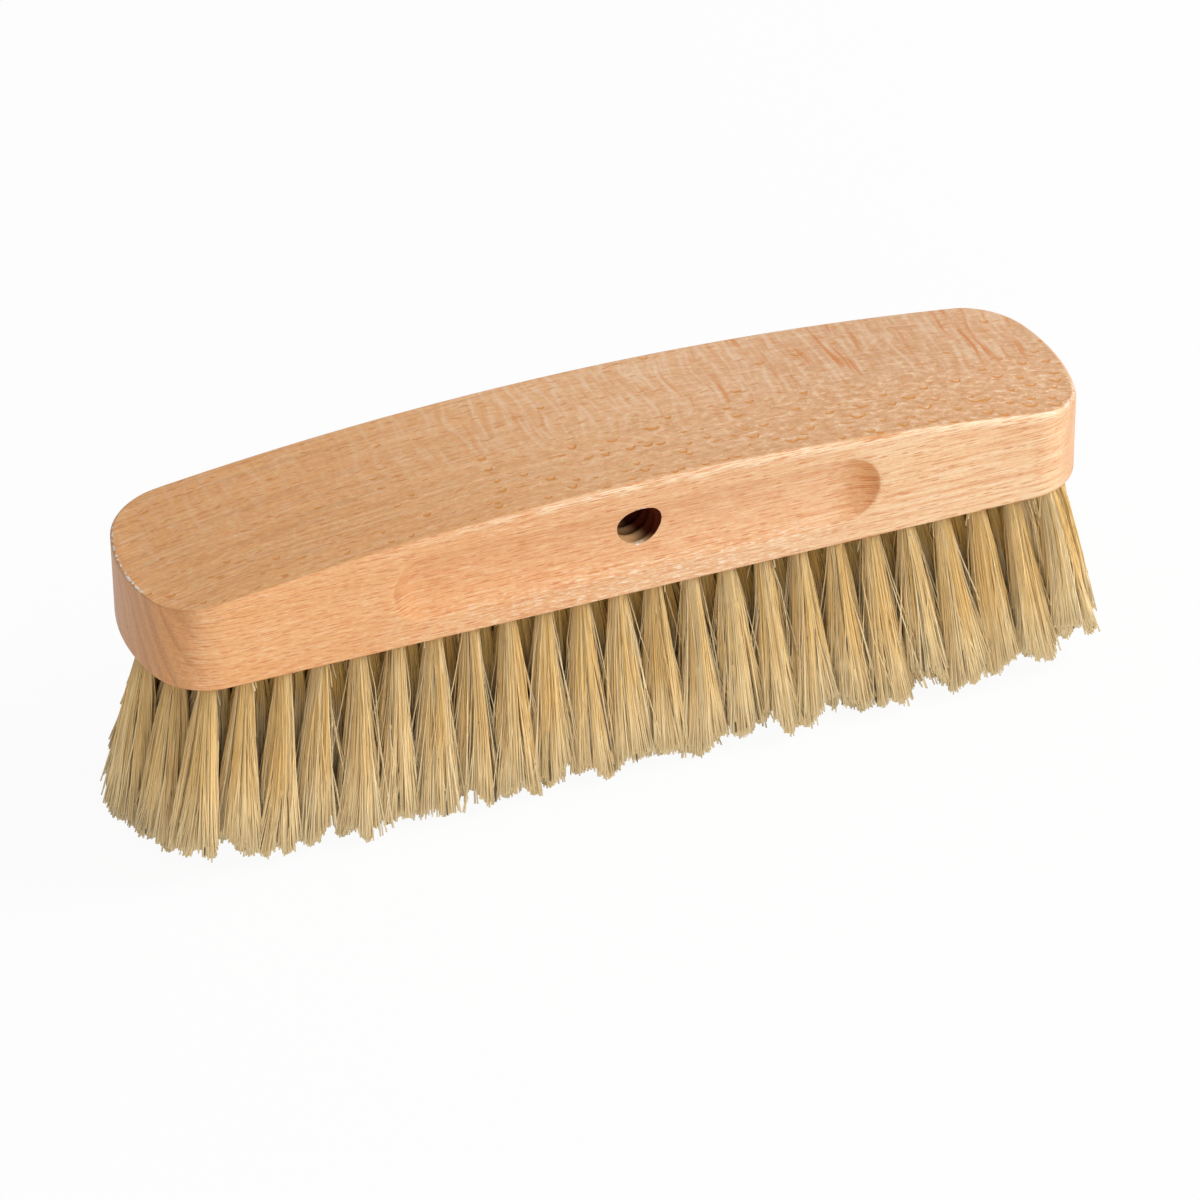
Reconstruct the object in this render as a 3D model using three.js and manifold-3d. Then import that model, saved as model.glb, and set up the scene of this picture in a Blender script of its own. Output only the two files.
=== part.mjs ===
// Dough trough brush: a cambered beech block with a finger groove along each side,
// a blind socket for a screw-in handle, and staggered rows of fanned bristle tufts.
// Millimetres, +Z up. The origin is under the middle of the block, on the bristle tips.
// +X runs along the block and the socket opens towards -Y.
import * as THREE from "three";
import { mergeVertices } from "three/addons/utils/BufferGeometryUtils.js";
import Module from "manifold-3d";

// Block
const BLOCK_LENGTH = 280;
const BLOCK_DEPTH = 60;
const BLOCK_HEIGHT = 36.5; // at the crown of the top
const CAMBER = 11; // fall of the top from the crown to each end
const END_RADIUS = 59; // plan radius of the bowed ends
const CORNER_RADIUS = 18; // plan radius between an end and a side
const TOP_EASE = 1.2; // rounding of the top edge
const BASE_EASE = 1; // rounding of the bottom edge
const BASE_SLICE = 2.5; // bottom slice of the block that carries the tufts

// Finger grooves, one along each side
const GROOVE_LENGTH = 145;
const GROOVE_HEIGHT = 21;
const GROOVE_DEPTH = 3.2;
const GROOVE_RISE = 17.8; // middle above the underside

// Handle socket, in the front groove
const SOCKET_DIAMETER = 13;
const SOCKET_DEPTH = 30; // from the face of the front side
const SOCKET_RISE = 20.6; // axis above the underside, in the upper half of the groove

// Bristle tufts
const BRISTLE_LENGTH = 55; // free length below the block
const TUFT_PITCH = 10.83; // along a row
const ROW_COUNT = 6; // neighbouring rows are half a pitch apart
const ROW_INSET = 4.375; // of the outer rows from the sides of the block
const TUFT_INSET = 3.6; // least distance of a tuft's middle from the edge, also round the ends
const TUFT_STRANDS = 3;
const STRAND_SIDES = 3;
const STRAND_SEAT = 1; // depth of a strand in the slice
const ROOT_RADIUS = 1.1; // of a strand
const TIP_RADIUS = 2.3;
const ROOT_SPREAD = 1.35; // of the strands about their tuft's middle
const TIP_SPREAD = 2.9;
const END_FAN = 9.8; // how far a tip stands out from its root under the end of the block
const SIDE_FAN = 9.3; // the same under the side; both shrink to nothing towards the middle

// Facets
const END_STEPS = 10;
const CORNER_STEPS = 9;
const SIDE_STEPS = 12;
const EASE_STEPS = 4;
const ROUND_STEPS = 48;

const UNDERSIDE = BRISTLE_LENGTH;
const SLICE_TOP = UNDERSIDE + BASE_SLICE;
const CROWN = UNDERSIDE + BLOCK_HEIGHT;
const FRONT = -BLOCK_DEPTH / 2;
const SOCKET_AXIS = UNDERSIDE + SOCKET_RISE;
const GROOVE_AXIS = UNDERSIDE + GROOVE_RISE;
const CAMBER_RADIUS = ((BLOCK_LENGTH / 2) ** 2 + CAMBER ** 2) / (2 * CAMBER);
const ROW_SPACING = (BLOCK_DEPTH - 2 * ROW_INSET) / (ROW_COUNT - 1);
const GROOVE_RADIUS = ((GROOVE_HEIGHT / 2) ** 2 + GROOVE_DEPTH ** 2) / (2 * GROOVE_DEPTH);

const wasm = await Module();
wasm.setup();

function toSolid(geometry) {
  const bare = geometry.clone();
  bare.deleteAttribute("normal");
  bare.deleteAttribute("uv");
  const welded = mergeVertices(bare);
  const mesh = new wasm.Mesh({
    numProp: 3,
    vertProperties: new Float32Array(welded.attributes.position.array),
    triVerts: new Uint32Array(welded.index.array),
  });
  return new wasm.Manifold(mesh);
}

function toMesh(name, solid, material) {
  const { vertProperties, triVerts } = solid.getMesh();
  const geometry = new THREE.BufferGeometry();
  geometry.setAttribute("position", new THREE.BufferAttribute(vertProperties, 3));
  geometry.setIndex(new THREE.BufferAttribute(triVerts, 1));
  geometry.computeVertexNormals();
  const mesh = new THREE.Mesh(geometry, material);
  mesh.name = name;
  return mesh;
}

// Middles of the plan's arcs: the bowed end, and the corner that is tangent to it and to the side
function planCentres() {
  const endX = BLOCK_LENGTH / 2 - END_RADIUS;
  const cornerY = BLOCK_DEPTH / 2 - CORNER_RADIUS;
  const cornerX = endX + Math.sqrt((END_RADIUS - CORNER_RADIUS) ** 2 - cornerY ** 2);
  const turn = Math.atan2(cornerY, cornerX - endX);
  return { endX, cornerX, cornerY, turn };
}

// Plan outline of the block, drawn in by an inset: bowed ends, round corners, straight sides.
// It starts at the right end and runs counter-clockwise; point i mirrors point n - i across X.
function planOutline(inset) {
  const { endX, cornerX, cornerY, turn } = planCentres();
  const endRadius = END_RADIUS - inset;
  const cornerRadius = CORNER_RADIUS - inset;
  const sideY = BLOCK_DEPTH / 2 - inset;
  const end = new THREE.EllipseCurve(endX, 0, endRadius, endRadius, 0, turn);
  const corner = new THREE.EllipseCurve(cornerX, cornerY, cornerRadius, cornerRadius, turn, Math.PI / 2);
  const side = new THREE.LineCurve(new THREE.Vector2(cornerX, sideY), new THREE.Vector2(0, sideY));
  const quarter = [
    ...end.getPoints(END_STEPS),
    ...corner.getPoints(CORNER_STEPS).slice(1),
    ...side.getPoints(SIDE_STEPS).slice(1),
  ];
  quarter[0].y = 0;
  const turned = (signX, signY) => quarter.map((p) => new THREE.Vector2(signX * p.x, signY * p.y));
  return [
    ...quarter,
    ...turned(-1, 1).reverse().slice(1),
    ...turned(-1, -1).slice(1),
    ...turned(1, -1).reverse().slice(1, -1),
  ];
}

function ring(inset, heightAt) {
  return planOutline(inset).map((p) => new THREE.Vector3(p.x, p.y, heightAt(p.x)));
}

// Closed skin over a stack of rings. Each end is closed by strips across the depth,
// which stay flat because both sides of a strip have the same height.
function loft(rings) {
  const count = rings[0].length;
  const index = [];
  for (let level = 0; level + 1 < rings.length; level += 1) {
    for (let i = 0; i < count; i += 1) {
      const low = level * count;
      const next = (i + 1) % count;
      index.push(low + i, low + next, low + count + next);
      index.push(low + i, low + count + next, low + count + i);
    }
  }
  const top = (rings.length - 1) * count;
  for (let i = 0; i < count / 2; i += 1) {
    const across = (count - i) % count;
    const nextAcross = count - i - 1;
    if (i > 0) {
      index.push(top + i, top + i + 1, top + across);
      index.push(i, across, i + 1);
    }
    if (i + 1 < count / 2) {
      index.push(top + i + 1, top + nextAcross, top + across);
      index.push(i + 1, across, nextAcross);
    }
  }
  const geometry = new THREE.BufferGeometry().setFromPoints(rings.flat());
  geometry.setIndex(index);
  return geometry;
}

function easeSteps() {
  return Array.from({ length: EASE_STEPS + 1 }, (_, step) => (step / EASE_STEPS) * (Math.PI / 2));
}

function topAt(x) {
  return CROWN - CAMBER_RADIUS + Math.sqrt(CAMBER_RADIUS ** 2 - x ** 2);
}

// Block above the slice: upright walls, then an eased edge into the cambered top
function blockBody() {
  const rings = [ring(0, () => SLICE_TOP)];
  for (const angle of easeSteps()) {
    const inset = TOP_EASE * (1 - Math.cos(angle));
    const drop = TOP_EASE * (1 - Math.sin(angle));
    rings.push(ring(inset, (x) => topAt(x) - drop));
  }
  return toSolid(loft(rings));
}

// Cove with round ends, as a round-nosed cutter run along a side leaves it
function grooveCutter(side) {
  const run = GROOVE_LENGTH - GROOVE_HEIGHT;
  const cutter = new THREE.CapsuleGeometry(GROOVE_RADIUS, run, ROUND_STEPS / 4, ROUND_STEPS);
  cutter.rotateZ(Math.PI / 2);
  const reach = BLOCK_DEPTH / 2 - GROOVE_DEPTH + GROOVE_RADIUS;
  cutter.translate(0, side * reach, GROOVE_AXIS);
  return toSolid(cutter);
}

// Flat-bottomed bore for the handle, run out past the front face
function socketCutter() {
  const radius = SOCKET_DIAMETER / 2;
  const length = SOCKET_DEPTH + GROOVE_DEPTH;
  const cutter = new THREE.CylinderGeometry(radius, radius, length, ROUND_STEPS);
  cutter.translate(0, length / 2, 0);
  cutter.rotateX(Math.PI);
  cutter.translate(0, FRONT + SOCKET_DEPTH, SOCKET_AXIS);
  return toSolid(cutter);
}

// Bottom slice of the whole block, with its lower edge eased
function baseSlab() {
  const rings = [];
  for (const angle of easeSteps().reverse()) {
    const inset = BASE_EASE * (1 - Math.cos(angle));
    const rise = BASE_EASE * (1 - Math.sin(angle));
    rings.push(ring(inset, () => UNDERSIDE + rise));
  }
  rings.push(ring(0, () => SLICE_TOP));
  return toSolid(loft(rings));
}

// Part of the slab between two lines along X
function slabBand(slab, fromY, toY) {
  const box = new THREE.BoxGeometry(BLOCK_LENGTH * 2, toY - fromY, BASE_SLICE * 4);
  box.translate(0, (fromY + toY) / 2, UNDERSIDE);
  return slab.intersect(toSolid(box));
}

function rowY(row) {
  return (row - (ROW_COUNT - 1) / 2) * ROW_SPACING;
}

// Half the length of the plan, drawn in by an inset, at a distance from the middle line
function planReach(y, inset) {
  const { endX, cornerX, cornerY, turn } = planCentres();
  const endRadius = END_RADIUS - inset;
  if (y < endRadius * Math.sin(turn)) {
    return endX + Math.sqrt(endRadius ** 2 - y ** 2);
  }
  return cornerX + Math.sqrt((CORNER_RADIUS - inset) ** 2 - (y - cornerY) ** 2);
}

// Middles of a row's tufts, at the root and, fanned out, at the tip.
// Even rows have a tuft half a pitch from the middle, odd rows have one on it.
function rowTufts(row) {
  const y = rowY(row);
  const first = row % 2 === 0 ? 0.5 : 0;
  const pitches = Math.floor(planReach(Math.abs(y), TUFT_INSET) / TUFT_PITCH - first) + first;
  return Array.from({ length: 2 * pitches + 1 }, (_, i) => {
    const x = (i - pitches) * TUFT_PITCH;
    const leanX = (END_FAN * x) / (BLOCK_LENGTH / 2);
    const leanY = (SIDE_FAN * y) / (BLOCK_DEPTH / 2);
    const root = new THREE.Vector3(x, y, UNDERSIDE + STRAND_SEAT);
    const tip = new THREE.Vector3(x + leanX, y + leanY, 0);
    return { root, tip };
  });
}

// One strand: level polygons at the root and at the trimmed tip, joined by flat sides
function addStrand(points, index, tuft, direction) {
  const first = points.length;
  const ends = [
    { middle: tuft.tip, spread: TIP_SPREAD, radius: TIP_RADIUS },
    { middle: tuft.root, spread: ROOT_SPREAD, radius: ROOT_RADIUS },
  ];
  for (const { middle, spread, radius } of ends) {
    for (let side = 0; side < STRAND_SIDES; side += 1) {
      const corner = direction + (side / STRAND_SIDES) * 2 * Math.PI;
      const x = middle.x + spread * Math.cos(direction) + radius * Math.cos(corner);
      const y = middle.y + spread * Math.sin(direction) + radius * Math.sin(corner);
      points.push(new THREE.Vector3(x, y, middle.z));
    }
  }
  const root = first + STRAND_SIDES;
  for (let side = 0; side < STRAND_SIDES; side += 1) {
    const next = (side + 1) % STRAND_SIDES;
    index.push(first + side, first + next, root + next);
    index.push(first + side, root + next, root + side);
  }
  for (let side = 1; side + 1 < STRAND_SIDES; side += 1) {
    index.push(first, first + side + 1, first + side);
    index.push(root, root + side, root + side + 1);
  }
}

// Strands of some rows; the rows behind the middle mirror those in front
function strands(rows) {
  const points = [];
  const index = [];
  for (const row of rows) {
    const mirror = Math.sign(rowY(row));
    for (const tuft of rowTufts(row)) {
      for (let strand = 0; strand < TUFT_STRANDS; strand += 1) {
        const direction = mirror * (Math.PI / 2) + (strand / TUFT_STRANDS) * 2 * Math.PI;
        addStrand(points, index, tuft, direction);
      }
    }
  }
  const geometry = new THREE.BufferGeometry().setFromPoints(points);
  geometry.setIndex(index);
  return toSolid(geometry);
}

const beech = new THREE.MeshStandardMaterial({ color: 0xdcae7f, roughness: 0.5, metalness: 0 });
const bristle = new THREE.MeshStandardMaterial({ color: 0xc3a468, roughness: 0.7, metalness: 0 });

const brush = new THREE.Group();

const grooves = grooveCutter(-1).add(grooveCutter(1));
const block = blockBody().subtract(grooves).subtract(socketCutter());
brush.add(toMesh("brush_block", block, beech));

const slab = baseSlab();
const bandEdge = rowY(ROW_COUNT - 1) - ROW_SPACING / 2;
const outside = BLOCK_DEPTH;
const bristleNodes = [
  { name: "front_row_bristles", rows: [0], fromY: -outside, toY: -bandEdge },
  { name: "front_inner_bristles", rows: [1, 2], fromY: -bandEdge, toY: 0 },
  { name: "back_inner_bristles", rows: [3, 4], fromY: 0, toY: bandEdge },
  { name: "back_row_bristles", rows: [5], fromY: bandEdge, toY: outside },
];
for (const { name, rows, fromY, toY } of bristleNodes) {
  const solid = slabBand(slab, fromY, toY).add(strands(rows));
  brush.add(toMesh(name, solid, bristle.clone()));
}

export default brush;
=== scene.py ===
"""Looks of a dough trough brush: a coved beech block with a tapped socket, set with tufts of bristle."""

import math

import bmesh
import bpy
import numpy as np
from mathutils import Matrix, Vector
from mathutils.geometry import delaunay_2d_cdt


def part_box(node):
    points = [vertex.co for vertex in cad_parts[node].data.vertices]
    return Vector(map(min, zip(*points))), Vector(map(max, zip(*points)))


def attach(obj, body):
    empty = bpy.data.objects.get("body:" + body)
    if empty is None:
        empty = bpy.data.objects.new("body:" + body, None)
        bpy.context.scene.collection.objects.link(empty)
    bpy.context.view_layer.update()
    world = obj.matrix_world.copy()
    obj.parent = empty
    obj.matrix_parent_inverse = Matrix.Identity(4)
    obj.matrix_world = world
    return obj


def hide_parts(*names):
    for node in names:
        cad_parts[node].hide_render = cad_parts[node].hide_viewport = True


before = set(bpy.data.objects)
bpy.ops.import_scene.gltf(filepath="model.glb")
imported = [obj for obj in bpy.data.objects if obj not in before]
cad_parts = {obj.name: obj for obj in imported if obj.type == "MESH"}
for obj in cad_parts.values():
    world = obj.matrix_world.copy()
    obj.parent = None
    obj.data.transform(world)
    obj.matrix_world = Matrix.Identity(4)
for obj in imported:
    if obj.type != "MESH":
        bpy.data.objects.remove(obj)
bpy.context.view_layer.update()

MM = 0.001
WHITE = (1.0, 1.0, 1.0, 1.0)

# Block, as the solids have it
_, block_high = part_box("brush_block")
HALF_LENGTH = block_high.x
HALF_DEPTH = block_high.y
CROWN = block_high.z
UNDERSIDE = 55 * MM
CAMBER = 11 * MM
END_RADIUS = 59 * MM
CORNER_RADIUS = 18 * MM
TOP_EASE = 1.2 * MM
BASE_EASE = 1 * MM
GROOVE_LENGTH = 145 * MM
GROOVE_HEIGHT = 21 * MM
GROOVE_DEPTH = 3.2 * MM
GROOVE_AXIS = UNDERSIDE + 17.8 * MM
SOCKET_AXIS = UNDERSIDE + 20.6 * MM
SOCKET_DEPTH = 30 * MM

# Block, finer than the solids
LEFT_EASE = 0.5 * MM
FRONT_EASE = 1.7 * MM
LEVEL_MARGIN = 0.1 * MM
GROOVE_LIP = 0.15 * MM
THREAD_MINOR = 6.0 * MM
THREAD_MAJOR = 7.3 * MM
THREAD_PITCH = 4 * MM
THREAD_PHASE = 0.15
THREAD_ROUGHNESS = 0.08 * MM
THREAD_SEED = 3
MOUTH_RADIUS = 6.6 * MM
MOUTH_SHIFT_X = 0.9 * MM
MOUTH_SHIFT_Z = 0.4 * MM
HOLE_RADIUS = 2.4 * MM
HOLE_DEPTH = 12 * MM

# Wood: the growth rings lean this far to the back for each step up
RING_SLOPE = 0.22

# Tuft field
TUFT_PITCH = 10.83 * MM
ROW_COUNT = 6
ROW_INSET = 4.375 * MM
TUFT_INSET = 3.6 * MM
ROOT_DEPTH = 3 * MM
ROOT_RADIUS = 2 * MM
TIP_RADIUS = 7.6 * MM
LEFT_FAN = 9.4 * MM
RIGHT_FAN = 7.0 * MM
SIDE_FAN = 9.6 * MM
BACK_CORNER_EASE = 0.75
END_START = 95 * MM
END_LENGTH = 30 * MM
CORNER_TRIM = 8 * MM
FLARE = 2.7 * MM
WAIST = 0.9 * MM

# Hairs of a tuft: crossing ones start elsewhere in its root, wandering ones end elsewhere along the row
HAIRS_OUTSIDE = 820
HAIRS_SECOND = 520
HAIRS_INSIDE = 300
HAIR_RADII = (0.11 * MM, 0.17 * MM)
HAIR_TAPER = (0.85, 0.95, 1.9)
HAIR_BEND = 0.35 * MM
LEAN_JITTER = 0.5 * MM
TIP_JITTER = 0.2 * MM
TRIM_JITTER = 0.12 * MM
CLUMPS = 6
CLUMP_TRIM = 3.2 * MM
CLUMP_BEND = 0.5 * MM
CLUMP_PULL = 0.34
CLUMP_POINT = 9 * MM
CROSSING_SHARE = 0.2
CROSSING_BEND = 0.9 * MM
CROSSING_CUT = 0.2
WANDERING_SHARE = 0.08
WANDERING_REACH = 3.6 * MM
SPLIT_RANGE = (0.35, 0.65)
SPLIT_SPREAD = (0.7 * MM, 0.7 * MM, 0.12 * MM)
SPLIT_BEND = 0.2 * MM
SPLIT_TONE = 0.2
STUBS = 3
STUB_LEAN = (0.2 * MM, 2 * MM)
STUB_LENGTH = (2 * MM, 9 * MM)
STUB_BEND = 0.3 * MM
DARK_SHARE = 0.005
ROW_PARTS = 6
HAIR_SEED = 300

# Mesh steps
END_STEPS = 18
CORNER_STEPS = 24
SIDE_STEPS = 180
WALL_STEPS = 56
EASE_STEPS = 7
HOLE_STEPS = 16
THREAD_STEPS = 72
THREAD_ADVANCE = 0.4 * MM
HAIR_STEPS = 3
HAIR_SIDES = 3
SHARP_ANGLE = math.radians(35)


def new_object(name, points, faces):
    """A smooth-shaded mesh object from points and faces."""
    mesh = bpy.data.meshes.new(name)
    mesh.from_pydata(points, [], faces)
    mesh.polygons.foreach_set("use_smooth", [True] * len(mesh.polygons))
    mesh.update()
    thing = bpy.data.objects.new(name, mesh)
    bpy.context.scene.collection.objects.link(thing)
    return thing


def loft_faces(rings, size):
    """Quads between rings of equal size."""
    faces = []
    for ring in range(rings - 1):
        low = ring * size
        high = low + size
        for i in range(size):
            j = (i + 1) % size
            faces.append((low + i, low + j, high + j, high + i))
    return faces


def turn_outward(thing):
    """Makes the faces of a closed mesh look outwards."""
    work = bmesh.new()
    work.from_mesh(thing.data)
    bmesh.ops.recalc_face_normals(work, faces=work.faces)
    work.to_mesh(thing.data)
    work.free()


def subtract(thing, cutter):
    """Takes a closed mesh out of another and removes the cutter."""
    cut = thing.modifiers.new("cut", "BOOLEAN")
    cut.object = cutter
    cut.solver = "EXACT"
    done = thing.evaluated_get(bpy.context.evaluated_depsgraph_get())
    mesh = bpy.data.meshes.new_from_object(done)
    thing.modifiers.clear()
    thing.data = mesh
    bpy.data.objects.remove(cutter)


def circle(centre, radius, steps):
    """Points round a circle."""
    turn = np.linspace(0, 2 * math.pi, steps, endpoint=False)
    return np.column_stack([centre[0] + radius * np.cos(turn), centre[1] + radius * np.sin(turn)])


def plan_centres():
    """Where the end arcs and the corner arcs of the plan are struck from, and the turn where they meet."""
    end_x = HALF_LENGTH - END_RADIUS
    corner_y = HALF_DEPTH - CORNER_RADIUS
    corner_x = end_x + math.sqrt((END_RADIUS - CORNER_RADIUS) ** 2 - corner_y**2)
    turn = math.atan2(corner_y, corner_x - end_x)
    return end_x, corner_x, corner_y, turn


def plan_outline():
    """Plan of the block and its outward directions.

    Both are loops that run anticlockwise from the middle of the right end.
    """
    end_x, corner_x, corner_y, turn = plan_centres()
    end_turn = np.linspace(0, turn, END_STEPS, endpoint=False)
    corner_turn = np.linspace(turn, math.pi / 2, CORNER_STEPS, endpoint=False)
    turns = np.concatenate([end_turn, corner_turn, np.full(SIDE_STEPS + 1, math.pi / 2)])
    outward = np.column_stack([np.cos(turns), np.sin(turns)])
    side_x = np.linspace(corner_x, 0, SIDE_STEPS + 1)
    points = np.vstack([
        (end_x, 0) + END_RADIUS * outward[:END_STEPS],
        (corner_x, corner_y) + CORNER_RADIUS * outward[END_STEPS:END_STEPS + CORNER_STEPS],
        np.column_stack([side_x, np.full(SIDE_STEPS + 1, HALF_DEPTH)]),
    ])
    return whole_loop(points), whole_loop(outward)


def whole_loop(quarter):
    """A closed loop from its first quarter, mirrored in both axes."""
    back = np.vstack([quarter, quarter[-2::-1] * (-1, 1)])
    return np.vstack([back, back[-2:0:-1] * (1, -1)])


def plan_reach(y, inset):
    """Half the length of the plan, drawn in by an inset, at a distance from the middle line."""
    end_x, corner_x, corner_y, turn = plan_centres()
    end_radius = END_RADIUS - inset
    if y < end_radius * math.sin(turn):
        return end_x + math.sqrt(end_radius**2 - y**2)
    return corner_x + math.sqrt((CORNER_RADIUS - inset) ** 2 - (y - corner_y) ** 2)


def top_at(x):
    """Height of the cambered top."""
    radius = (HALF_LENGTH**2 + CAMBER**2) / (2 * CAMBER)
    return CROWN - radius + np.sqrt(radius**2 - x**2)


def groove_depth(x, z):
    """How far the cove of a long side goes in, with a softened lip."""
    half = GROOVE_HEIGHT / 2
    radius = (half**2 + GROOVE_DEPTH**2) / (2 * GROOVE_DEPTH)
    along = np.maximum(np.abs(x) - (GROOVE_LENGTH / 2 - half), 0)
    apart = np.hypot(along, z - GROOVE_AXIS)
    depth = np.sqrt(np.maximum(radius**2 - apart**2, 0)) - (radius - GROOVE_DEPTH)
    return (depth + np.sqrt(depth**2 + GROOVE_LIP**2)) / 2


def top_ease(plan):
    """Rounding of the top edge, sanded by hand: crisp at the left end, broad in front, even at the back."""
    along = np.clip((plan[:, 0] + HALF_LENGTH) / HALF_LENGTH, 0, 1)
    front = LEFT_EASE + (FRONT_EASE - LEFT_EASE) * along
    behind = np.clip(plan[:, 1] / HALF_DEPTH + 0.5, 0, 1)
    return front + (TOP_EASE - front) * behind


def block_rings():
    """Rings of the block from its underside to its top, with the coves taken out of the long sides."""
    plan, outward = plan_outline()
    top = top_at(plan[:, 0])
    ease = top_ease(plan)
    quarter = np.linspace(0, math.pi / 2, EASE_STEPS + 1)

    def ring(inset, height):
        """The plan drawn in by an inset, at a height."""
        inner = plan - outward * np.reshape(inset, (-1, 1))
        return np.column_stack([inner, np.broadcast_to(height, len(plan))])

    rings = [ring(BASE_EASE + LEVEL_MARGIN, UNDERSIDE)]
    for turn in quarter[:-1]:
        rings.append(ring(BASE_EASE * (1 - math.sin(turn)), UNDERSIDE + BASE_EASE * (1 - math.cos(turn))))
    low = UNDERSIDE + BASE_EASE
    straight = np.abs(outward[:, 1]) > 0.999
    for share in np.linspace(0, 1, WALL_STEPS + 1):
        height = low + (top - ease - low) * share
        rings.append(ring(np.where(straight, groove_depth(plan[:, 0], height), 0), height))
    for turn in quarter[1:]:
        rings.append(ring(ease * (1 - math.cos(turn)), top - ease * (1 - math.sin(turn))))
    rings.append(ring(ease + LEVEL_MARGIN, top))
    return rings


def row_y(row):
    """Where a row of tufts runs."""
    spacing = 2 * (HALF_DEPTH - ROW_INSET) / (ROW_COUNT - 1)
    return (row - (ROW_COUNT - 1) / 2) * spacing


def row_tufts(row):
    """Middles of a row's tufts: even rows straddle the middle, odd rows have a tuft on it."""
    y = row_y(row)
    first = 0.5 if row % 2 == 0 else 0
    pitches = math.floor(plan_reach(abs(y), TUFT_INSET) / TUFT_PITCH - first) + first
    return [((i - pitches) * TUFT_PITCH, y) for i in range(int(2 * pitches) + 1)]


def all_tufts():
    """Middles of every tuft of the field."""
    return [tuft for row in range(ROW_COUNT) for tuft in row_tufts(row)]


def underside_faces(outline, circles):
    """Triangles of the underside, left open at the tuft holes.

    Their indices run through the outline and then the circles.
    """
    points = [Vector(p) for p in np.vstack([outline, *circles])]
    loops = [list(range(len(outline)))]
    for number in range(len(circles)):
        first = len(outline) + number * HOLE_STEPS
        loops.append(list(range(first, first + HOLE_STEPS)))
    inside_only = 1
    merge_distance = 1e-7
    found, _, triangles, sources, *_ = delaunay_2d_cdt(points, [], loops, inside_only, merge_distance)
    origin = [ids[0] for ids in sources]
    middles = np.array(all_tufts())
    faces = []
    for triangle in triangles:
        centre = np.mean([found[v] for v in triangle], axis=0)
        clear = np.hypot(*(middles - centre).T).min() > HOLE_RADIUS * 0.99
        if clear:
            faces.append([origin[v] for v in triangle])
    return faces


def socket_cutter():
    """A tapped rod with a rough surface, which leaves the handle thread in the block.

    The mouth is worn smooth and a little to the upper right.
    """
    rng = np.random.default_rng(THREAD_SEED)
    turns = np.linspace(0, 2 * math.pi, THREAD_STEPS, endpoint=False)
    overhang = 3 * MM
    depths = np.arange(-overhang, SOCKET_DEPTH, THREAD_ADVANCE)
    points = []
    for depth in depths:
        phase = (depth / THREAD_PITCH - turns / (2 * math.pi) - THREAD_PHASE) % 1
        crest = (1 - np.cos(2 * math.pi * phase)) / 2
        tapped = depth < SOCKET_DEPTH - THREAD_PITCH
        radius = THREAD_MINOR + (THREAD_MAJOR - THREAD_MINOR) * crest * tapped
        worn = np.clip((GROOVE_DEPTH + THREAD_PITCH / 2 - depth) / (THREAD_PITCH / 2), 0, 1)
        radius = radius + (MOUTH_RADIUS - radius) * worn
        radius = radius + rng.uniform(-THREAD_ROUGHNESS, THREAD_ROUGHNESS, THREAD_STEPS)
        x = MOUTH_SHIFT_X * worn + radius * np.cos(turns)
        z = SOCKET_AXIS + MOUTH_SHIFT_Z * worn + radius * np.sin(turns)
        points.extend(np.column_stack([x, np.full(THREAD_STEPS, depth - HALF_DEPTH), z]).tolist())
    faces = loft_faces(len(depths), THREAD_STEPS)
    last = (len(depths) - 1) * THREAD_STEPS
    faces.append(list(range(THREAD_STEPS)))
    faces.append(list(range(last, last + THREAD_STEPS)))
    cutter = new_object("socket_cutter", points, faces)
    turn_outward(cutter)
    return cutter


def make_block():
    """The beech block: lofted body, drilled underside, coved sides and tapped socket."""
    rings = block_rings()
    size = len(rings[0])
    faces = loft_faces(len(rings), size)

    # Strips from front to back close the top
    top = (len(rings) - 1) * size
    for i in range(size // 2):
        corners = [top + i, top + i + 1, top + (size - i - 1), top + (size - i) % size]
        faces.append(list(dict.fromkeys(corners)))

    # The underside, then the wall and the floor of each tuft hole
    circles = [circle(tuft, HOLE_RADIUS, HOLE_STEPS) for tuft in all_tufts()]
    first = len(rings) * size
    deep = len(circles) * HOLE_STEPS
    for face in underside_faces(rings[0][:, :2], circles):
        faces.append([v if v < size else first + v - size for v in face])
    for number in range(len(circles)):
        low = first + number * HOLE_STEPS
        for i in range(HOLE_STEPS):
            j = (i + 1) % HOLE_STEPS
            faces.append((low + i, low + j, low + deep + j, low + deep + i))
        faces.append([low + deep + i for i in range(HOLE_STEPS)])
    rims = np.vstack(circles)
    mouths = np.column_stack([rims, np.full(deep, UNDERSIDE)])
    floors = np.column_stack([rims, np.full(deep, UNDERSIDE + HOLE_DEPTH)])

    points = np.vstack([*rings, mouths, floors]).tolist()
    block = new_object("block", points, faces)
    turn_outward(block)
    subtract(block, socket_cutter())
    block.data.set_sharp_from_angle(angle=SHARP_ANGLE)
    return block


def disc_points(rng, count):
    """Even random points in a disc of radius 1."""
    turn = rng.uniform(0, 2 * math.pi, count)
    reach = np.sqrt(rng.uniform(0, 1, count))
    return np.column_stack([reach * np.cos(turn), reach * np.sin(turn)])


def end_share(tuft):
    """0 along the sides of the field, rising to 1 at its ends."""
    return np.clip((abs(tuft[0]) - END_START) / END_LENGTH, 0, 1)


def corner_trim(tuft):
    """How much shorter a tuft is cut: those at the corners of the field turn up a little."""
    return CORNER_TRIM * (end_share(tuft) * tuft[1] / HALF_DEPTH) ** 2


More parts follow.
